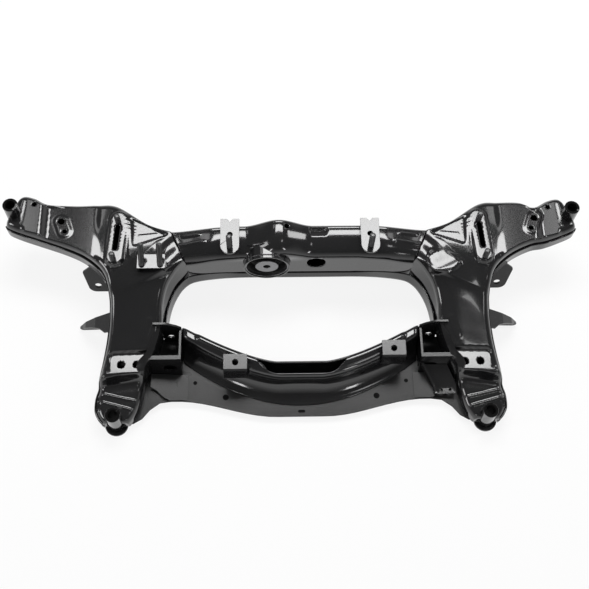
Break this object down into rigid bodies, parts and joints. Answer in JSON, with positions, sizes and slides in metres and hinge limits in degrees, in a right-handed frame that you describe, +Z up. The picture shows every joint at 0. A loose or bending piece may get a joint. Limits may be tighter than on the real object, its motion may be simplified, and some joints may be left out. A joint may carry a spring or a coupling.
{
  "type": "rear suspension subframe",
  "caption": "Rear suspension subframe of welded steel pressings: arms and rails with mount collars, front and rear crossmembers, differential bush, and brackets for links and stabiliser bar.",
  "frame": {"origin": "midway between the rear body-mount axes, on the plane of the rear collars' lower faces, which the part stands on", "axes": "+X across the vehicle to the right as seen from behind, +Y ahead towards the front crossmember, +Z up along the mounting bolts"},
  "size_m": [1.1514, 0.4658, 0.218],
  "materials": {
    "paint": "gloss",
    "bracket_paint": "gloss",
    "stud": "satin",
    "bare_steel": "satin",
    "rubber": "matte"
  },
  "bodies": {
    "root": {"left_side_upper": "paint", "right_side_upper": "paint", "left_side_lower": "paint", "right_side_lower": "paint", "front_cross_upper": "paint", "front_cross_lower": "paint", "rear_cross_top": "paint", "rear_cross_cove": "paint", "rear_cross_shelf": "paint", "front_left_collar": "paint", "front_right_collar": "paint", "rear_left_collar": "paint", "rear_right_collar": "paint", "rear_left_washer": "paint", "rear_right_washer": "paint", "bush_housing": "paint", "bush_sleeve": "bare_steel", "bush_rubber": "rubber", "bush_core": "bare_steel", "left_stabiliser_bracket": "bracket_paint", "right_stabiliser_bracket": "bracket_paint", "left_stabiliser_stud": "stud", "right_stabiliser_stud": "stud", "left_link_front_ear": "bracket_paint", "right_link_front_ear": "bracket_paint", "left_link_rear_ear": "bracket_paint", "right_link_rear_ear": "bracket_paint", "left_lower_link_bracket": "bracket_paint", "right_lower_link_bracket": "bracket_paint", "left_differential_bracket": "bracket_paint", "right_differential_bracket": "bracket_paint", "left_differential_nut": "stud", "right_differential_nut": "stud", "left_pad_studs": "stud", "right_pad_studs": "stud", "cable_bracket": "bracket_paint", "cable_studs": "stud", "hanger_bracket": "bracket_paint"}
  },
  "joints": []
}
